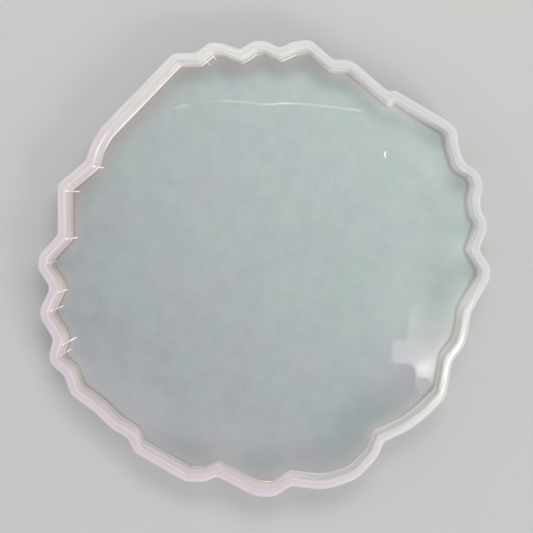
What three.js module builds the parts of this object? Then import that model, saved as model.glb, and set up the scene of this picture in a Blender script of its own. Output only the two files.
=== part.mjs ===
// Resin casting mould: an open silicone tray with the wavy outline of an agate slice.
// Millimetres, +Z up. The origin is at the centre of the underside, and the cavity opens upwards.
import * as THREE from "three";

const FLOOR_THICKNESS = 2;
const CAVITY_DEPTH = 10;
const WALL_THICKNESS = 4;
const CREASE_RADIUS = 0.6;                    // the sharpest edge that points into the cavity
const POCKET_RADIUS = 1.5;                    // the tightest pocket of the cavity's outline
const ARC_STEP = THREE.MathUtils.degToRad(14);

// Corners of the outside edge, anticlockwise from the right-hand lobe: x, y and the corner's radius.
const OUTLINE_CORNERS = [
  [91.2, -19.8, 4], [99.9, -4.6, 8], [99.8, 0.9, 2.5], [95.0, 8.2, 1.5],
  [98.4, 17.2, 4], [98.2, 21.8, 3], [96.1, 24.6, 1], [95.2, 30.2, 2],
  [96.8, 37.2, 5], [94.2, 43.6, 5], [88.2, 46.9, 3], [85.6, 55.0, 6],
  [85.4, 60.0, 3], [82.9, 64.1, 3], [57.6, 78.9, 1.2], [55.4, 77.6, 2],
  [38.6, 92.2, 7], [30.6, 92.1, 2], [20.8, 100.9, 2.5], [13.0, 100.2, 6],
  [7.0, 97.4, 1.5], [0.6, 100.5, 6], [-4.6, 100.6, 6], [-10.8, 96.5, 1.2],
  [-18.5, 99.4, 5], [-24.2, 99.8, 4], [-30.1, 95.1, 1], [-39.9, 95.2, 6],
  [-72.5, 61.5, 14], [-76.8, 54.0, 14], [-78.4, 47.8, 1.5], [-91.2, 37.0, 1.5],
  [-91.0, 14.8, 1.5],
  [-99.4, 5.8, 4], [-99.8, -0.2, 3], [-94.3, -8.6, 4], [-99.9, -20.2, 7],
  [-92.8, -31.2, 2.5], [-94.9, -37.6, 4], [-94.4, -42.2, 3], [-88.3, -47.2, 1.5],
  [-85.4, -55.7, 2.5], [-74.5, -63.6, 8], [-67.5, -70.6, 8], [-59.9, -75.2, 1.5],
  [-57.2, -81.3, 2], [-34.4, -94.3, 5], [-26.0, -94.1, 6], [-20.8, -91.8, 1.2],
  [-4.4, -100.5, 10], [4.4, -100.9, 8], [12.0, -95.9, 3], [26.5, -97.8, 16],
  [41.0, -93.2, 18], [50.4, -83.0, 10], [52.8, -76.6, 0.8], [63.5, -71.7, 20],
  [72.0, -65.4, 20], [80.4, -56.7, 2.5], [83.0, -40.9, 3], [88.5, -34.3, 5],
  [90.4, -27.0, 12],
];

// The corner's incoming and outgoing directions, and its turn: positive where the outline bulges outwards.
function cornerTurn(corners, index) {
  const { point } = corners[index];
  const before = corners.at(index - 1).point;
  const after = corners[(index + 1) % corners.length].point;
  const into = point.clone().sub(before).normalize();
  const out = after.clone().sub(point).normalize();
  return { into, out, turn: Math.atan2(into.cross(out), into.dot(out)) };
}

// Each corner becomes an arc that is tangent to both of its edges.
function roundCorners(corners) {
  return corners.flatMap(({ point, radius }, index) => {
    const { into, turn } = cornerTurn(corners, index);
    const start = point.clone().addScaledVector(into, -radius * Math.tan(Math.abs(turn) / 2));
    const towardsCentre = new THREE.Vector2(-into.y, into.x).multiplyScalar(Math.sign(turn) * radius);
    const centre = start.clone().add(towardsCentre);
    const steps = Math.max(1, Math.ceil(Math.abs(turn) / ARC_STEP));
    return Array.from({ length: steps + 1 }, (_, k) => start.clone().rotateAround(centre, (turn * k) / steps));
  });
}

// The corners of the parallel outline that runs the given distance inside. Bulges tighten by that
// distance, and corners that point into the cavity stay as sharp as they are outside.
function insetCorners(corners, distance) {
  return corners.map(({ point, radius }, index) => {
    const { into, out, turn } = cornerTurn(corners, index);
    const inwards = new THREE.Vector2(-into.y - out.y, into.x + out.x).normalize();
    return {
      point: point.clone().addScaledVector(inwards, distance / Math.cos(turn / 2)),
      radius: turn > 0 ? Math.max(radius - distance, POCKET_RADIUS) : Math.max(radius, CREASE_RADIUS),
    };
  });
}

function centredCorners() {
  const corners = OUTLINE_CORNERS.map(([x, y, radius]) => ({ point: new THREE.Vector2(x, y), radius }));
  const centre = new THREE.Box2().setFromPoints(roundCorners(corners)).getCenter(new THREE.Vector2());
  corners.forEach(({ point }) => point.sub(centre));
  return corners;
}

function makeSlab(name, shape, height, finish) {
  const geometry = new THREE.ExtrudeGeometry(shape, { depth: height, bevelEnabled: false });
  const mesh = new THREE.Mesh(geometry, new THREE.MeshStandardMaterial(finish));
  mesh.name = name;
  return mesh;
}

// The thin bed of the cavity. It fills the wall ring's opening, level with its underside.
function makeFloor(insideOutline) {
  const finish = { color: 0xb2bdbb, roughness: 0.2, metalness: 0 };
  return makeSlab("cavity_floor", new THREE.Shape(insideOutline), FLOOR_THICKNESS, finish);
}

// The upright ring with the flat rim on top. Its lowest stretch meets the floor's edge face to face.
function makeWall(outsideOutline, insideOutline) {
  const shape = new THREE.Shape(outsideOutline);
  shape.holes.push(new THREE.Path(insideOutline));
  const finish = { color: 0xdbd3d6, roughness: 0.45, metalness: 0 };
  return makeSlab("perimeter_wall", shape, FLOOR_THICKNESS + CAVITY_DEPTH, finish);
}

const corners = centredCorners();
const outsideOutline = roundCorners(corners);
const insideOutline = roundCorners(insetCorners(corners, WALL_THICKNESS));
const mould = new THREE.Group();
mould.add(makeFloor(insideOutline), makeWall(outsideOutline, insideOutline));

export default mould;
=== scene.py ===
# Looks of the resin casting mould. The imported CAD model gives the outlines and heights. This script adds
# the rounded rim, the cavity wall with its foot fillet, the glossy bed, the materials and the studio.
import math

import bmesh
import bpy
import numpy as np
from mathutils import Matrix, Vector, geometry, noise
from mathutils.kdtree import KDTree


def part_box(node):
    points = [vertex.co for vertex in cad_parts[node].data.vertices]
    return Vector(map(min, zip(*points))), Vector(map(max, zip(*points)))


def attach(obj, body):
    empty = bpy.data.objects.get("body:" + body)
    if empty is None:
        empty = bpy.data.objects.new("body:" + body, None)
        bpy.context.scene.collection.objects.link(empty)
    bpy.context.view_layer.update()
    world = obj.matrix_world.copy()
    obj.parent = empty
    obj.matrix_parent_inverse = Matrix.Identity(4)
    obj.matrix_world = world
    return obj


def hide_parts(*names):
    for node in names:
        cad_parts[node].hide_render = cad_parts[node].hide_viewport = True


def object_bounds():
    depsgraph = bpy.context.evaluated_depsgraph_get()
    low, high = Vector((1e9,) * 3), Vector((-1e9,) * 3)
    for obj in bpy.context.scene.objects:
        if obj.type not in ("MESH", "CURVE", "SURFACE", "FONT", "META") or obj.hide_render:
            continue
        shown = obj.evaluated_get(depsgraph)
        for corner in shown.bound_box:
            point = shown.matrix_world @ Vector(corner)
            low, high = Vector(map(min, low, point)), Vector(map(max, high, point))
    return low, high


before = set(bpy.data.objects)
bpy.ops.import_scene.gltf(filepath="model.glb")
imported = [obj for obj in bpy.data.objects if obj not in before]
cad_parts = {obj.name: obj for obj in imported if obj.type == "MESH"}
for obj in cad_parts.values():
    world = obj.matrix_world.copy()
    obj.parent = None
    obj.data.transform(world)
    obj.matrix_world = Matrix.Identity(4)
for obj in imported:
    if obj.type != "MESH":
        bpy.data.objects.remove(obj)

MM = 0.001
CAD_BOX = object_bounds()
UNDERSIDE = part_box("perimeter_wall")[0].z
RIM_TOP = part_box("perimeter_wall")[1].z
BED_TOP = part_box("cavity_floor")[1].z
MOULD_RADIUS = (CAD_BOX[1].x - CAD_BOX[0].x) / 2

# Wall, in metres
STATION_STEP = 0.6 * MM                       # spacing of the cross-sections along the outline
OUTSIDE_SMOOTHING = 12                        # passes that soften the outside outline's corners
INSIDE_SMOOTHING = 9
RIM_ROUNDING = 1.3 * MM                       # outside top edge
RIM_LIP = 0.6 * MM                            # inside top edge
RIM_CROWN = 0.03 * MM                         # the rim's middle stands this much above its edges
RIM_SHARES = (0.15, 0.35, 0.5, 0.65, 0.85)    # of the flat width, where the rim has its points
BASE_ROUNDING = 0.5 * MM                      # outside bottom edge
FOOT_FILLET = 1.2 * MM                        # where the cavity wall meets the bed
FOOT_SINK = 0.05 * MM                         # how far its hidden edge lies below the bed
LIP_BLEND = 1.2 * MM                          # below the lip, the rim's finish gives way to the cavity's
HOLD = 0.12 * MM                              # keeps flat faces flat in the shading, beside a rounding
ARC_STEPS = 5
PAINTED_LIP_HIGHLIGHT = (-72.0 * MM, 54.0 * MM, RIM_TOP)   # middle of the painted highlight on the cavity's top edge

# The wall's zones, from the outside face over the rim to the foot, as the material reads them
ZONE_OUTSIDE, ZONE_SHOULDER, ZONE_RIM, ZONE_LIP = 0.0, 0.12, 0.25, 0.38
ZONE_CAVITY, ZONE_FOOT, ZONE_HIDDEN = 0.5, 0.75, 1.0

# Sharp upright creases of the cavity wall, as beads in a white glowing material that paints their
# highlights;
# their run over the bed paints the highlights' reflection. In millimetres: x, y, how far below the rim they
# start, how far they run out onto the bed, and their radius.
CREASES = [
    (-75.2, 45.2, 1.5, 0.9, 0.36),
    (-87.4, 34.2, 0.0, 1.8, 0.34),
    (-87.2, 12.6, 0.5, 1.2, 0.30),
    (-95.5, 2.6, 0.5, 0.0, 0.20),
    (-90.9, -10.8, 1.0, 0.2, 0.34),
    (-94.3, -19.0, 4.0, 2.6, 0.26),
    (-89.3, -34.0, 3.5, 3.6, 0.38),
    (-89.4, -38.7, 5.0, 2.8, 0.26),
    (-24.0, 95.9, 1.5, 0.0, 0.24),
    (-26.4, 93.0, 8.0, 0.8, 0.20),
]
CREASE_AIM = Vector((30, 33))                 # on the bed they run towards this point, in millimetres
CREASE_START = 0.8 * MM                       # length of their first piece
CREASE_WIDEST = 0.7                           # share of its reach over the bed at which it is widest there
CREASE_SWELL = (0.4, 1.3, 1.1, 0.5, 0.3, 0.4, 1.0, 0.2)       # shares of the radius, from rim to bed
CREASE_PAINTED_GLOW = 0.15                            # painted glow of the creases, standing in for their highlights
FILLET_MIDDLE = 0.3                           # share of the fillet's radius, from the wall and from the bed
BEAD_SIDES = 8

# Bed, in metres
BED_SPACING = 1.6 * MM
BED_WAVE = 0.012 * MM
WAVE_LENGTHS, SHORT_WAVE = (38 * MM, 17 * MM), 0.4            # and the second wave's height beside the first
SHARP_EDGE = 0.5                              # radians between faces, above which an edge is not smooth
CONTACT_PATCH = (71.0 * MM, -51.5 * MM, BED_TOP)              # where the bed sticks to the table
PAINTED_LIGHT_ON_BED = (72.0 * MM, -20.0 * MM, BED_TOP)   # middle of the bed's palest part, which is painted light

# Painted shade and painted light on the bed beside the wall: the side x, y that they are on; where across
# the mould they start and are full; their strength; the distances from the wall, in millimetres, up to which
# they are full and where they end; and their colour.
BED_EDGE_SHADING = [
    (-0.35, -1, 0.76, 0.85, 0.5, 4.0, 24.0, (188, 187, 190)),
    (-0.6, 1, 0.72, 0.82, 0.4, 4.0, 10.0, (168, 158, 154)),
    (1, 0.3, 0.82, 0.92, 0.5, 4.0, 15.0, (206, 221, 213)),
    (-1, -0.2, 0.82, 0.9, 0.24, 1.6, 2.6, (112, 104, 100)),
    (1, 0, 0.78, 0.86, 0.26, 1.6, 2.6, (112, 104, 100)),
]

# Blemishes of the bed, in millimetres. Bubbles and specks have x, y and radius.
BLISTER = Vector((54.9, 50.8))                # a half-round ridge, left by an air pocket
BLISTER_REACH = Vector((1.05, 1.5))           # half its width and half its length
BLISTER_START, BLISTER_TURN = 100, 165        # degrees
BLISTER_THIN, BLISTER_SWELL = 0.05, 0.3       # radius at its ends, and what its middle has more
BLISTER_STEPS = 12
BUBBLES = [(68.5, -55.0, 0.22), (70.0, -55.9, 0.28), (65.3, -61.6, 0.2)]
BUBBLE_HEIGHT = 0.8                           # as a share of the radius
SPECKS = [(67.0, -63.9, 0.2), (67.4, 65.4, 0.22), (79.1, -53.8, 0.18)]
SPECK_HEIGHT = 0.5

SILICONE_IOR = 1.41
BLACK = (0, 0, 0, 1)

# View
CAMERA_HEIGHT = 470 * MM                      # above the rim
CAMERA_OFFSET = Vector((18 * MM, 20 * MM))    # of the lens from the view's centre
VIEW_CENTRE = Vector((1.1 * MM, 0.9 * MM))
VIEW_WIDTH = 234.5 * MM                       # at the rim
SENSOR = 36.0

# Studio, in metres and watts
FLOOR_SIZE = 6
SKY_TINT, SKY_STRENGTH = (0.95, 0.98, 1.0, 1), 0.62
WINDOWS = [                                   # name, place, size, watts, tint, whether reflections see it
    ("window_behind", (0.22, 0.80, 0.78), (0.9, 0.45), 5.3, (1.0, 1.0, 0.98), True),
    ("window_right", (1.05, -1.05, 0.66), (0.8, 0.5), 11.0, (1.0, 0.98, 0.97), False),
    ("fill_front", (-0.35, -0.75, 0.6), (0.8, 0.5), 0.6, (1.0, 0.92, 0.95), True),
    ("window_left", (-1.15, 0.31, 0.38), (1.2, 0.5), 2.8, (1.0, 0.98, 0.98), True),
]
GLINTS = [                                    # lights that only reflections see: name, place, size, radiance
    ("glint_front", (0.64, -0.85, 1.20), (0.65, 0.35), 100.0),
    ("glint_back", (0.0, 1.0, 1.24), (0.7, 0.3), 18.0),
]

# The lamp and the tube overhead are given by where their reflections show on the bed, in millimetres.
OVERHEAD = 0.7                                # their height above the bed, in metres
LAMP_OUTLINE = [
    (57.4, -33.0), (57.0, -43.0), (62.0, -42.6), (65.8, -43.6), (67.4, -45.4), (68.0, -49.2), (74.0, -50.2),
    (78.0, -62.0), (104.0, -84.0), (140.0, -60.0), (132.0, -16.0), (90.0, -9.0), (65.5, -9.0), (63.8, -32.4),
]
LAMP_SPACING = 1.5
LAMP_TINT = (1.0, 0.93, 0.90, 1)
LAMP_BASE = 3.5                               # radiance away from its spots
LAMP_SPOTS = [(74, -44, 13, 11, 5.0), (71.5, -45.5, 4.0, 3.5, 8.5)]      # x, y, two reaches, radiance
LAMP_BACK, LAMP_BACK_FADE = 19, 2.5           # where it fades towards the back, and how softly
RIM_START = Vector((87.3, -34.8))             # the lit stretch of rim at the front right: where it starts,
RIM_WAY = Vector((-8.3, -17.2)).normalized()  # which way it runs,
RIM_REACH = (-6, 20)                          # between which distances,
RIM_REACH_FADE = (1.0, 1.5)                   # how softly it begins and ends,
RIM_GLOW_EDGE, RIM_GLOW_FADE = 1.5, 0.5       # where its inner side is, and how soft that is,
RIM_GLOW = 62.0                               # and its radiance
TUBE_LINE = [                                 # x, y, brightness
    (-41.6, 70.6, 0.3), (-39.6, 71.9, 1.2), (-37.0, 72.3, 1.0), (-33.0, 73.4, 0.5), (-27.0, 74.3, 0.1),
    (-22.6, 74.8, 0.4), (-18.0, 75.0, 0.9), (-14.0, 74.9, 0.7), (-8.0, 74.5, 0.9), (-0.7, 73.1, 1.0),
    (6.7, 73.7, 1.9), (9.0, 73.8, 1.9), (13.0, 73.8, 0.9), (19.5, 73.4, 0.9), (29.6, 72.1, 0.7),
    (37.8, 70.9, 1.1), (42.6, 70.4, 1.6), (43.6, 70.2, 0.3),
]
TUBE_WIDTH = 0.6
TUBE_RADIANCE = 7.0


# ---------------------------------------------------------------- outlines

def closed_loops(edges):
    """Chains undirected edges, given as pairs of points, into closed loops."""
    around = {}
    for a, b in edges:
        around.setdefault(a, []).append(b)
        around.setdefault(b, []).append(a)
    loops = []
    while around:
        start = max(around)
        loop, here = [start], around[start][0]
        while here != start:
            loop.append(here)
            here = next(p for p in around[here] if p != loop[-2])
        for p in loop:
            del around[p]
        loops.append(np.array(loop))
    return loops


def anticlockwise(loop):
    """The loop, turned round if it runs clockwise."""
    following = np.roll(loop, -1, axis=0)
    area = np.sum(loop[:, 0] * following[:, 1] - loop[:, 1] * following[:, 0])
    return loop if area > 0 else loop[::-1]


def rim_outlines():
    """The outside and inside outline of the CAD wall's flat top, as two arrays whose rows match."""
    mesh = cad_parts["perimeter_wall"].data
    edges = {}
    for polygon in mesh.polygons:
        if polygon.normal.z < 0.9:
            continue
        corners = [tuple(round(c, 7) for c in mesh.vertices[i].co[:2]) for i in polygon.vertices]
        for a, b in zip(corners, corners[1:] + corners[:1]):
            edges[frozenset((a, b))] = edges.get(frozenset((a, b)), 0) + 1
    border = [tuple(edge) for edge, uses in edges.items() if uses == 1]
    loops = [anticlockwise(loop) for loop in closed_loops(border)]
    outside, inside = sorted(loops, key=lambda loop: -np.ptp(loop[:, 0]))
    misfits = [np.sum((np.roll(inside, -k, axis=0) - outside) ** 2) for k in range(len(inside))]
    return outside, np.roll(inside, -int(np.argmin(misfits)), axis=0)


def refined(outside, inside):
    """Extra rows along the straight stretches, then a smoothing that rounds off the arcs' facets."""
    rows_out, rows_in = [], []
    lengths = np.linalg.norm(np.roll(outside, -1, axis=0) - outside, axis=1)
    for i, length in enumerate(lengths):
        steps = max(1, math.ceil(length / STATION_STEP))
        share = (np.arange(steps) / steps)[:, None]
        j = (i + 1) % len(outside)
        rows_out.append(outside[i] + share * (outside[j] - outside[i]))
        rows_in.append(inside[i] + share * (inside[j] - inside[i]))
    return smoothed(np.vstack(rows_out), OUTSIDE_SMOOTHING), smoothed(np.vstack(rows_in), INSIDE_SMOOTHING)


def smoothed(outline, passes):
    for _ in range(passes):
        outline = (np.roll(outline, 1, axis=0) + 2 * outline + np.roll(outline, -1, axis=0)) / 4
    return outline


# ---------------------------------------------------------------- mesh helpers

def new_object(name, data):
    """An object in the scene, from a mesh, a light or a camera."""
    made = bpy.data.objects.new(name, data)
    bpy.context.scene.collection.objects.link(made)
    return made


def add_point_values(mesh, name, values):
    """Values that the material reads by name, one for each point."""
    mesh.attributes.new(name, "FLOAT", "POINT").data.foreach_set("value", values)


def shade_smooth(mesh):
    mesh.polygons.foreach_set("use_smooth", [True] * len(mesh.polygons))


def filled(outline, spacing):
    """The points and triangles that fill an outline, over a staggered grid of inner points."""
    outline = np.array(outline)
    low, high = outline.min(0), outline.max(0)
    points = [Vector(p) for p in outline]
    ring = [(i, (i + 1) % len(points)) for i in range(len(points))]
    row_gap = spacing * math.sqrt(3) / 2
    for r in range(int((high[1] - low[1]) / row_gap)):
        shift = spacing / 2 * (r % 2)
        for c in range(int((high[0] - low[0]) / spacing)):
            points.append(Vector((low[0] + shift + c * spacing, low[1] + r * row_gap)))
    border = [list(range(len(outline)))]
    plan, _, triangles = geometry.delaunay_2d_cdt(points, ring, border, 1, 1e-7)[:3]
    used = sorted({i for t in triangles for i in t})
    order = {old: new for new, old in enumerate(used)}
    return [plan[i] for i in used], [tuple(order[i] for i in t) for t in triangles]


def quarter(radius, start, end):
    """Offsets of an arc's points from its centre, between two angles in degrees."""
    angles = np.radians(np.linspace(start, end, ARC_STEPS + 1))
    return [(radius * math.cos(a), radius * math.sin(a)) for a in angles]


# ---------------------------------------------------------------- wall

def wall_profile(width):
    """One cross-section of the wall: distance inwards from the outside face, height and zone."""
    points = []

    def arc(centre_in, centre_up, radius, start, end, zone):
        points.extend((centre_in - x, centre_up + z, zone) for x, z in quarter(radius, start, end))

    arc(BASE_ROUNDING, UNDERSIDE + BASE_ROUNDING, BASE_ROUNDING, -90, 0, ZONE_OUTSIDE)
    points.append((0, UNDERSIDE + BASE_ROUNDING + HOLD, ZONE_OUTSIDE))
    points.append((0, (UNDERSIDE + RIM_TOP) / 2, ZONE_OUTSIDE))
    points.append((0, RIM_TOP - RIM_ROUNDING - HOLD, ZONE_OUTSIDE))
    arc(RIM_ROUNDING, RIM_TOP - RIM_ROUNDING, RIM_ROUNDING, 0, 90, ZONE_SHOULDER)
    for share in RIM_SHARES:
        crown = RIM_CROWN * (1 - (2 * share - 1) ** 2)
        points.append((RIM_ROUNDING + share * (width - RIM_ROUNDING - RIM_LIP), RIM_TOP + crown, ZONE_RIM))
    arc(width - RIM_LIP, RIM_TOP - RIM_LIP, RIM_LIP, 90, 180, ZONE_LIP)
    points.append((width, RIM_TOP - RIM_LIP - LIP_BLEND, ZONE_CAVITY))
    points.append((width, (BED_TOP + RIM_TOP) / 2, ZONE_CAVITY))
    points.append((width, BED_TOP + FOOT_FILLET + HOLD, ZONE_CAVITY))
    arc(width + FOOT_FILLET, BED_TOP + FOOT_FILLET, FOOT_FILLET, 0, -90, ZONE_FOOT)
    points.append((width, BED_TOP - FOOT_SINK, ZONE_HIDDEN))
    points.append((width, UNDERSIDE, ZONE_HIDDEN))
    return points


def wall_points(outside, inside):
    """Every point of the cross-sections, its zone, and how far along and across the wall it lies."""
    lengths = np.linalg.norm(np.roll(outside, -1, axis=0) - outside, axis=1)
    along = np.cumsum(lengths) - lengths
    points, zones, runs = [], [], []
    for start, end, run_along in zip(outside, inside, along):
        width = math.dist(start, end)
        inwards = (end - start) / width
        profile = wall_profile(width)
        before = profile[0]
        run_across = 0.0
        for depth, height, zone in profile:
            run_across += math.dist(before[:2], (depth, height))
            before = (depth, height)
            points.append((*(start + inwards * depth), height))
            zones.append(zone)
            runs.append((run_along, run_across))
    return points, zones, runs


def build_wall(outside, inside):
    points, zones, runs = wall_points(outside, inside)
    rows = len(outside)
    count = len(points) // rows
    faces = []
    for i in range(rows):
        j = (i + 1) % rows
        for k in range(count):
            m = (k + 1) % count
            faces.append((i * count + k, j * count + k, j * count + m, i * count + m))
    mesh = bpy.data.meshes.new("silicone_wall")
    mesh.from_pydata(points, [], faces)
    add_point_values(mesh, "zone", zones)
    uv = mesh.uv_layers.new(name="along_and_across").data
    for corner, loop in zip(uv, mesh.loops):
        corner.uv = runs[loop.vertex_index]
    shade_smooth(mesh)
    return new_object("silicone_wall", mesh)


# ---------------------------------------------------------------- bed

def bed_height(x, y):
    long, short = WAVE_LENGTHS
    wave = noise.noise(Vector((x, y, 0)) / long) + SHORT_WAVE * noise.noise(Vector((y, x, 1)) / short)
    return BED_TOP + BED_WAVE * wave


def distances_to(outline, plan):
    """From each point of the plan to the nearest point of the outline."""
    border = KDTree(len(outline))
    for i, (x, y) in enumerate(outline):
        border.insert((x, y, 0), i)
    border.balance()
    return np.array([border.find((p.x, p.y, 0))[2] for p in plan])


def mark_sharp_edges(mesh):
    """Turns the faces outwards, and keeps smooth shading off the edges where faces meet at a corner."""
    made = bmesh.new()
    made.from_mesh(mesh)
    bmesh.ops.recalc_face_normals(made, faces=made.faces)
    for edge in made.edges:
        edge.smooth = edge.calc_face_angle(0) < SHARP_EDGE
    made.to_mesh(mesh)
    made.free()


def build_bed(inside):
    plan, triangles = filled(inside, BED_SPACING)
    count = len(plan)
    top = [(p.x, p.y, bed_height(p.x, p.y)) for p in plan]
    bottom = [(p.x, p.y, UNDERSIDE) for p in plan]
    faces = list(triangles) + [tuple(count + i for i in reversed(t)) for t in triangles]
    sides = {(a, b) for t in triangles for a, b in zip(t, t[1:] + t[:1])}
    faces.extend((a, count + a, count + b, b) for a, b in sorted(sides) if (b, a) not in sides)
    mesh = bpy.data.meshes.new("silicone_bed")
    mesh.from_pydata(top + bottom, [], faces)
    add_point_values(mesh, "from_wall", np.tile(distances_to(inside, plan) / MM, 2))
    shade_smooth(mesh)
    mark_sharp_edges(mesh)
    return new_object("silicone_bed", mesh)


# ---------------------------------------------------------------- creases and blemishes

def add_bead(made, path, radii, side):
    """A slender closed bead along a path that lies in the plane square to side."""
    path = [Vector(p) for p in path]
    rings = []
    for k, (centre, radius) in enumerate(zip(path, radii)):
        run = (path[min(k + 1, len(path) - 1)] - path[max(k - 1, 0)]).normalized()
        up = run.cross(side)
        angles = [math.tau * i / BEAD_SIDES for i in range(BEAD_SIDES)]
        spokes = [math.cos(a) * side + math.sin(a) * up for a in angles]
        rings.append([made.verts.new(centre + radius * spoke) for spoke in spokes])
    for near, far in zip(rings, rings[1:]):
        for i in range(BEAD_SIDES):
            j = (i + 1) % BEAD_SIDES
            made.faces.new((near[i], near[j], far[j], far[i]))
    made.faces.new(rings[0][::-1])
    made.faces.new(rings[-1])


def mesh_object(name, made):
    """An object from a bmesh, with its faces pointing out and smooth."""
    bmesh.ops.recalc_face_normals(made, faces=made.faces)
    for face in made.faces:
        face.smooth = True
    mesh = bpy.data.meshes.new(name)
    made.to_mesh(mesh)
    made.free()
    return new_object(name, mesh)


def crease_route(start, run_out):
    """A crease's points as distance out from the wall and height, from the rim to its tip on the bed."""
    top, low = RIM_TOP - start, BED_TOP + FOOT_FILLET
    middle, reach = FILLET_MIDDLE * FOOT_FILLET, FOOT_FILLET + run_out
    if start == 0:
        route = [(-CREASE_START, RIM_TOP), (0, RIM_TOP - RIM_LIP)]
    else:
        route = [(0, top), (0, top - CREASE_START)]
    route.append((0, (top + low) / 2))
    route.append((0, low))
    route.append((middle, BED_TOP + middle))
    route.append((FOOT_FILLET, BED_TOP))
    route.append((middle + CREASE_WIDEST * reach, BED_TOP))
    route.append((FOOT_FILLET + reach, BED_TOP))
    return route


def build_creases(inside):
    """Beads that run down the sharp creases of the cavity wall and a little way over the bed. Their material
    paints the creases' highlights, and their part on the bed paints the highlights' reflection.
    """
    made = bmesh.new()
    for x, y, start, run_out, radius in CREASES:
        place = np.array((x, y)) * MM
        foot = Vector(inside[int(np.argmin(np.linalg.norm(inside - place, axis=1)))])
        aim = (CREASE_AIM * MM - foot).normalized()
        route = crease_route(start * MM, run_out * MM)
        path = [(*(foot + aim * out), height) for out, height in route]
        radii = [radius * MM * share for share in CREASE_SWELL]
        add_bead(made, path, radii, Vector((-aim.y, aim.x, 0)))
    return mesh_object("crease_ridges", made)


def add_dots(made, dots, flatness):
    for x, y, radius in dots:
        ball = bmesh.ops.create_icosphere(made, subdivisions=2, radius=radius * MM)["verts"]
        bmesh.ops.scale(made, verts=ball, vec=(1, 1, flatness))
        bmesh.ops.translate(made, verts=ball, vec=(x * MM, y * MM, BED_TOP))


def build_blister():
    """A half-round ridge left in the bed by an air pocket, and three small bubbles, which take the material
    that paints their highlights.
    """
    made = bmesh.new()
    path, radii = [], []
    for k in range(BLISTER_STEPS + 1):
        share = k / BLISTER_STEPS
        angle = math.radians(BLISTER_START + BLISTER_TURN * share)
        x, y = BLISTER + BLISTER_REACH * Vector((math.cos(angle), math.sin(angle)))
        path.append((x * MM, y * MM, BED_TOP))
        radii.append((BLISTER_THIN + BLISTER_SWELL * math.sin(math.pi * share)) * MM)
    add_bead(made, path, radii, Vector((0, 0, 1)))
    add_dots(made, BUBBLES, BUBBLE_HEIGHT)
    return mesh_object("bed_blister", made)


def build_specks():
    made = bmesh.new()
    add_dots(made, SPECKS, SPECK_HEIGHT)
    return mesh_object("dust_specks", made)


# ---------------------------------------------------------------- materials

class Nodes:
    """Short calls for building one material's node tree."""

    def __init__(self, name):
        self.material = bpy.data.materials.new(name)
        self.material.use_nodes = True
        self.tree = self.material.node_tree
        self.shader = self.tree.nodes["Principled BSDF"]

    def add(self, kind, inputs=None, **settings):
        """A node with its settings, and its inputs given as values or as other nodes' outputs."""
        node = self.tree.nodes.new("ShaderNode" + kind)
        for key, value in settings.items():
            setattr(node, key, value)
        for key, value in (inputs or {}).items():
            self.put(node.inputs[key], value)
        return node

    def put(self, socket, value):
        if isinstance(value, bpy.types.NodeSocket):
            self.tree.links.new(value, socket)
        else:
            socket.default_value = value

    def place(self):
        return self.add("TexCoord").outputs["Object"]

    def attribute(self, name):
        return self.add("Attribute", attribute_name=name, attribute_type="GEOMETRY").outputs["Fac"]

    def noise(self, size, detail=2.0, vector=None):
        inputs = {"Vector": vector or self.place(), "Scale": 1 / size, "Detail": detail, "Roughness": 0.5}
        return self.add("TexNoise", inputs).outputs["Fac"]

    def ramp(self, value, *stops):
        """Values blended between stops, each given as its position and the grey level there."""
        node = self.add("ValToRGB", {"Fac": value})
        stripe = node.color_ramp.elements
        while len(stripe) < len(stops):
            stripe.new(1)
        for element, (position, level) in zip(stripe, stops):
            element.position = position
            element.color = (level, level, level, 1)
        return node.outputs["Color"]

    def mix(self, share, a, b):
        """From a at share 0 to b at share 1."""
        node = self.add("Mix", {0: share}, data_type="RGBA")
        self.put(node.inputs[6], a)
        self.put(node.inputs[7], b)
        return node.outputs[2]

    def both(self, one, other):
        """The product of two masks."""
        return self.mix(one, BLACK, other)

    def bump(self, height, distance, strength):
        inputs = {"Height": height, "Distance": distance, "Strength": strength}
        return self.add("Bump", inputs).outputs["Normal"]

    def finish(self, **values):
        """The material, once the shader's inputs have these values."""
        for key, value in values.items():
            self.put(self.shader.inputs[key.replace("_", " ")], value)
        return self.material


def linear(level):
    """A display level, 0 to 255, as the linear value that shaders take."""
    share = level / 255
    return share / 12.92 if share <= 0.04045 else ((share + 0.055) / 1.055) ** 2.4


def colour(red, green, blue):
    return (linear(red), linear(green), linear(blue), 1)


def towards(n, x, y):
    """0 on one side of the mould to 1 on the side that the direction x, y points to."""
    reach = n.add("VectorMath", {0: n.place(), 1: (x, y, 0)}, operation="DOT_PRODUCT").outputs["Value"]
    limit = MOULD_RADIUS * math.hypot(x, y)
    return n.add("MapRange", {"Value": reach, "From Min": -limit, "From Max": limit}).outputs["Result"]


def distance_from(n, point):
    return n.add("VectorMath", {0: n.place(), 1: point}, operation="DISTANCE").outputs["Value"]


def fading(n, value, start, end, full=1.0, **settings):
    """The full share up to the start value, falling to 0 at the end value."""
    inputs = {"Value": value, "From Min": end, "From Max": start, "To Max": full}
    return n.add("MapRange", inputs, **settings).outputs["Result"]


def rim_tone(n, greenish):
    # Painted light and shade: darker towards the right, lilac or greenish by a painted tint of the light
    right = n.mix(towards(n, 1, 0), colour(221, 223, 219), colour(200, 202, 199))
    tone = n.mix(greenish, colour(208, 194, 200), right)
    # painted light: lighter at the upper left
    upper_left_painted_light = n.ramp(towards(n, -1, 1), (0.75, 0.0), (0.9, 0.2))
    return n.mix(upper_left_painted_light, tone, colour(233, 227, 225))


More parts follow.
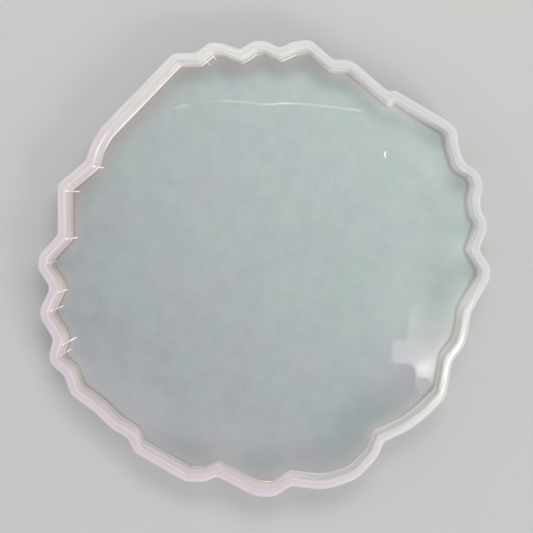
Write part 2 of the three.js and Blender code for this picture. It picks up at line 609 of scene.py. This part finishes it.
def cavity_tone(n, greenish, upper_left_painted_light):
    # Painted light and shade: lighter towards the lower right and at the upper left, darker in the far lower
    # right
    lilac = n.mix(towards(n, 1.0, -0.5), colour(226, 213, 211), colour(254, 240, 237))
    lilac = n.mix(upper_left_painted_light, lilac, colour(238, 226, 225))
    tone = n.mix(greenish, lilac, colour(248, 248, 244))
    lower_right_painted_shade = n.ramp(towards(n, 1, -1), (0.86, 0.0), (0.93, 1.0))
    return n.mix(lower_right_painted_shade, tone, colour(214, 210, 207))


def foot_shade_tone(n, upper_left_painted_light):
    # Painted shade: the foot darker towards the left, lighter at the right and at the upper left
    tone = n.mix(towards(n, 1.0, -0.3), colour(176, 168, 163), colour(214, 212, 208))
    return n.mix(upper_left_painted_light, tone, colour(220, 212, 208))


def with_lip(n, zone, tone, upper_left_painted_light):
    """Makes the cavity's top edge greyer at the upper left, and paints a highlight on it along one stretch.
    """
    on_lip = n.ramp(zone, (0.3, 0.0), (ZONE_LIP, 1.0), (ZONE_CAVITY, 0.0))
    tone = n.mix(n.both(upper_left_painted_light, on_lip), tone, colour(200, 190, 191))
    # painted highlight: a lighter stretch of the lip
    pale = fading(n, distance_from(n, PAINTED_LIP_HIGHLIGHT), 4 * MM, 9 * MM)
    return n.mix(n.both(pale, on_lip), tone, colour(238, 230, 234))


def wall_tone(n, zone):
    """A tone of its own for each zone. Lilac at the left and greenish at the right is a painted tint of the
    light, and sides made lighter or darker are painted light and shade.
    """
    # painted light: the lilac-to-greenish tint of the light across the mould
    greenish = n.ramp(towards(n, 1.0, 0.6), (0.35, 0.0), (0.65, 1.0))
    # painted light: where the upper left is made lighter
    upper_left_painted_light = n.ramp(towards(n, -1, 1), (0.9, 0.0), (0.96, 1.0))
    tone = n.mix(n.ramp(zone, (ZONE_OUTSIDE, 1.0), (0.2, 0.0)), rim_tone(n, greenish), colour(208, 201, 200))
    in_cavity = n.ramp(zone, (ZONE_LIP, 0.0), (ZONE_CAVITY, 1.0))
    tone = n.mix(in_cavity, tone, cavity_tone(n, greenish, upper_left_painted_light))
    on_foot = n.ramp(zone, (ZONE_CAVITY, 0.0), (ZONE_FOOT, 1.0))
    tone = n.mix(on_foot, tone, foot_shade_tone(n, upper_left_painted_light))
    tone = with_lip(n, zone, tone, upper_left_painted_light)
    clouds = n.ramp(n.noise(9 * MM, 3), (0.35, 0.0), (0.65, 0.15))
    return n.mix(clouds, tone, colour(222, 219, 219))


def wall_lines(n, zone):
    """Fine lines along the wall, clearest on the rim."""
    uv = n.add("UVMap", uv_map="along_and_across").outputs["UV"]
    stretched = n.add("Mapping", {"Vector": uv, "Scale": (0.02, 1, 1)}).outputs["Vector"]
    lines = n.ramp(n.noise(0.55 * MM, 2, vector=stretched), (0.42, 0.0), (0.6, 0.28))
    clear = n.ramp(zone, (0.1, 0.4), (0.2, 1.0), (ZONE_LIP, 1.0), (ZONE_CAVITY, 0.4))
    return n.both(clear, lines)


def wall_roughness(n, zone):
    """Matt on the shoulder and satin elsewhere. The foot is glossy at the front, where it catches light."""
    rim = (ZONE_RIM, 0.2), (0.3, 0.2), (ZONE_LIP, 0.5), (0.46, 0.25)
    rough = n.ramp(zone, (ZONE_OUTSIDE, 0.42), (ZONE_SHOULDER, 0.9), *rim)
    foot = n.ramp(towards(n, 0, 1), (0.12, 0.06), (0.3, 0.5), (0.66, 0.5), (0.76, 0.33), (0.95, 0.38))
    return n.mix(n.ramp(zone, (ZONE_CAVITY, 0.0), (ZONE_FOOT, 1.0)), rough, foot)


def wall_silicone():
    n = Nodes("milky_silicone")
    zone = n.attribute("zone")
    lines = wall_lines(n, zone)
    tone = n.mix(lines, wall_tone(n, zone), colour(184, 176, 181))
    rough = wall_roughness(n, zone)
    return n.finish(Base_Color=tone, Roughness=rough, Normal=n.bump(lines, 0.06 * MM, 0.6), IOR=SILICONE_IOR,
                    Subsurface_Weight=0.25, Subsurface_Radius=(1.0, 0.95, 0.9), Subsurface_Scale=1.2 * MM)


def mottled(n, grain):
    """Bluish and greenish clouds with fine flecks. Paler and greener towards the upper right, which is
    painted light.
    """
    # painted light: paler and greener towards the upper right
    share = towards(n, 1, 1)
    bluish = n.mix(share, colour(155, 153, 162), colour(178, 184, 185))
    tinted = n.mix(share, colour(149, 159, 161), colour(174, 190, 183))
    flecks = n.mix(share, colour(170, 174, 176), colour(196, 203, 200))
    tone = n.mix(n.ramp(n.noise(26 * MM, 3), (0.32, 0.0), (0.68, 1.0)), bluish, tinted)
    tone = n.mix(n.ramp(grain, (0.3, 0.0), (0.7, 0.2)), tone, flecks)
    return n.mix(n.ramp(n.noise(7 * MM, 2), (0.35, 0.0), (0.65, 0.28)), tone, flecks)


def with_right_side(n, tone):
    """Paints light on the bed at the right, making it paler there, and makes it bluer round its contact
    patch.
    """
    # painted light: the bed paler at the right
    pale = fading(n, distance_from(n, PAINTED_LIGHT_ON_BED), 6 * MM, 30 * MM, full=0.2)
    tone = n.mix(pale, tone, colour(210, 214, 208))
    blue = fading(n, distance_from(n, CONTACT_PATCH), 8 * MM, 26 * MM, full=0.4)
    return n.mix(blue, tone, colour(196, 186, 199))


def with_painted_edge_shading(n, tone):
    """Paints shade and light on the bed beside the wall, all round and then side by side."""
    from_wall = n.attribute("from_wall")
    # painted shade beside the wall, turning to painted light at the right
    near = fading(n, from_wall, 0.5, 7.0, interpolation_type="SMOOTHSTEP")
    tone = n.mix(near, tone, n.mix(towards(n, 1, 0.4), colour(171, 168, 163), colour(207, 206, 202)))
    # painted shade and painted light on each side, as the table lists
    for x, y, start, end, share, full, none, shade in BED_EDGE_SHADING:
        side = n.ramp(towards(n, x, y), (start, 0.0), (end, share))
        tone = n.mix(n.both(fading(n, from_wall, full, none), side), tone, colour(*shade))
    return tone


def contact_patch(n):
    """A round patch with a ragged border."""
    ragged = n.add("Math", {0: n.noise(1.6 * MM, 3), 1: 3 * MM}, operation="MULTIPLY").outputs["Value"]
    away = distance_from(n, CONTACT_PATCH)
    reach = n.add("Math", {0: away, 1: ragged}, operation="ADD").outputs["Value"]
    return fading(n, reach, 4.6 * MM, 5.6 * MM, full=0.75)


def bed_silicone():
    n = Nodes("clear_silicone_bed")
    grain = n.noise(2.2 * MM, 2)
    tone = with_painted_edge_shading(n, with_right_side(n, mottled(n, grain)))
    tone = n.mix(contact_patch(n), tone, colour(203, 203, 201))
    return n.finish(Base_Color=tone, Roughness=0.02, Normal=n.bump(grain, 0.004 * MM, 0.1), IOR=SILICONE_IOR,
                    Subsurface_Weight=0.15, Subsurface_Radius=(1.0, 1.0, 1.0), Subsurface_Scale=1.0 * MM)


def painted_highlight_silicone():
    """Near-white silicone that glows a little: painted highlights on the creases, the blister and the
    bubbles.
    """
    n = Nodes("painted_highlight_silicone")
    clouds = n.ramp(n.noise(0.6 * MM, 2), (0.3, 0.0), (0.7, 1.0))
    tone = n.mix(clouds, colour(255, 250, 246), colour(240, 234, 230))
    # the white tone and the small glow are painted highlights
    return n.finish(Base_Color=tone, Roughness=0.12, IOR=SILICONE_IOR,
                    Emission_Color=(1.0, 0.97, 0.94, 1), Emission_Strength=CREASE_PAINTED_GLOW)


def dust():
    n = Nodes("dust")
    tone = n.mix(n.noise(0.2 * MM, 2), colour(96, 88, 82), colour(130, 122, 116))
    return n.finish(Base_Color=tone, Roughness=0.8)


# ---------------------------------------------------------------- studio

def add_floor():
    bpy.ops.mesh.primitive_plane_add(size=FLOOR_SIZE, location=(0, 0, UNDERSIDE))
    floor = bpy.context.object
    floor.name = "studio_floor"
    n = Nodes("studio_floor")
    pale = colour(194, 194, 192)
    floor.data.materials.append(n.finish(Base_Color=pale, Roughness=0.7, Specular_IOR_Level=0.0))


def add_area(name, place, size, watts, tint=(1, 1, 1)):
    """A rectangular light that faces the mould."""
    light = bpy.data.lights.new(name, "AREA")
    light.shape = "RECTANGLE"
    light.size, light.size_y = size
    light.energy = watts
    light.color = tint
    made = new_object(name, light)
    made.location = place
    made.rotation_euler = (-Vector(place)).to_track_quat("-Z", "Y").to_euler()
    made.visible_camera = False
    return made


def mirrored(x, y):
    """The place overhead whose reflection shows at x, y on the bed, which are in millimetres."""
    lens = camera_place()
    factor = (lens.z - BED_TOP + OVERHEAD) / (lens.z - BED_TOP)
    away = (Vector((x * MM, y * MM)) - lens.xy) * factor
    return Vector((lens.x + away.x, lens.y + away.y, BED_TOP + OVERHEAD))


def glowing(name, vertices, faces, radiances, tint):
    """A light that only reflections see: a mesh whose brightness is given at each vertex."""
    mesh = bpy.data.meshes.new(name)
    mesh.from_pydata(vertices, [], faces)
    add_point_values(mesh, "radiance", radiances)
    n = Nodes(name)
    strength = n.attribute("radiance")
    mesh.materials.append(n.finish(Base_Color=BLACK, Emission_Color=tint, Emission_Strength=strength))
    made = new_object(name, mesh)
    made.visible_camera = False
    made.visible_diffuse = False


def rising(value, middle, softness):
    """0 below the middle value and 1 above it, with a soft step between."""
    return 1 / (1 + math.exp((middle - value) / softness))


def spot(x, y, centre_x, centre_y, reach_x, reach_y, radiance):
    return radiance * math.exp(-((x - centre_x) / reach_x) ** 2 - ((y - centre_y) / reach_y) ** 2)


def rim_glow(x, y):
    """The part of the lamp that lights a stretch of the rim."""
    along = Vector((x, y)) - RIM_START
    reach, beside = along.dot(RIM_WAY), along.x * -RIM_WAY.y + along.y * RIM_WAY.x
    begun = rising(reach, RIM_REACH[0], RIM_REACH_FADE[0])
    not_over = rising(-reach, -RIM_REACH[1], RIM_REACH_FADE[1])
    return RIM_GLOW * rising(beside, RIM_GLOW_EDGE, RIM_GLOW_FADE) * begun * not_over


def lamp_radiance(x, y):
    """Brightest near the outline's inner corner and over the rim, fading towards the back."""
    spots = sum(spot(x, y, *where) for where in LAMP_SPOTS)
    return (LAMP_BASE + spots) * rising(-y, LAMP_BACK, LAMP_BACK_FADE) + rim_glow(x, y)


def add_lamp():
    plan, triangles = filled(LAMP_OUTLINE, LAMP_SPACING)
    vertices = [mirrored(*p) for p in plan]
    glowing("overhead_lamp", vertices, triangles, [lamp_radiance(*p) for p in plan], LAMP_TINT)


def add_tube():
    """A thin light whose reflection is the fine wavering line at the back of the bed."""
    half = TUBE_WIDTH / 2
    vertices = [mirrored(x, y + side) for x, y, _ in TUBE_LINE for side in (-half, half)]
    faces = [(2 * k, 2 * k + 2, 2 * k + 3, 2 * k + 1) for k in range(len(TUBE_LINE) - 1)]
    radiances = [TUBE_RADIANCE * share for _, _, share in TUBE_LINE for _ in range(2)]
    glowing("ceiling_tube", vertices, faces, radiances, (1.0, 1.0, 1.0, 1))


def add_sky():
    world = bpy.data.worlds.new("studio")
    world.use_nodes = True
    background = world.node_tree.nodes["Background"]
    background.inputs["Color"].default_value = SKY_TINT
    background.inputs["Strength"].default_value = SKY_STRENGTH
    bpy.context.scene.world = world


def add_lights():
    for name, place, size, watts, tint, mirror in WINDOWS:
        window = add_area(name, place, size, watts, tint)
        window.visible_glossy = mirror
    for name, place, size, radiance in GLINTS:
        glint = add_area(name, place, size, radiance * math.pi * size[0] * size[1])
        glint.visible_diffuse = False
    add_lamp()
    add_tube()
    add_sky()


def camera_place():
    centre = VIEW_CENTRE + CAMERA_OFFSET
    return Vector((centre.x, centre.y, RIM_TOP + CAMERA_HEIGHT))


def add_camera():
    lens = bpy.data.cameras.new("camera")
    lens.sensor_width = SENSOR
    lens.lens = SENSOR * CAMERA_HEIGHT / VIEW_WIDTH
    lens.shift_x = -CAMERA_OFFSET.x / VIEW_WIDTH
    lens.shift_y = -CAMERA_OFFSET.y / VIEW_WIDTH
    made = new_object("camera", lens)
    made.location = camera_place()
    bpy.context.scene.camera = made


# ---------------------------------------------------------------- assembly

def put_together():
    outside, inside = refined(*rim_outlines())
    wall = build_wall(outside, inside)
    bed = build_bed(inside)
    # a near-white glowing material that paints highlights on the creases, the blister and the bubbles
    highlight_paint = painted_highlight_silicone()
    dressed = (
        (wall, wall_silicone(), "silicone_wall"),
        (bed, bed_silicone(), "silicone_floor"),
        (build_creases(inside), highlight_paint, "silicone_wall"),
        (build_blister(), highlight_paint, "silicone_floor"),
        (build_specks(), dust(), "silicone_floor"),
    )
    for piece, material, slot in dressed:
        piece.data.materials.append(material)
        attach(piece, "root")
    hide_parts("perimeter_wall")
    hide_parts("cavity_floor")


add_camera()
put_together()
add_floor()
add_lights()
bpy.context.scene.view_settings.view_transform = "Standard"
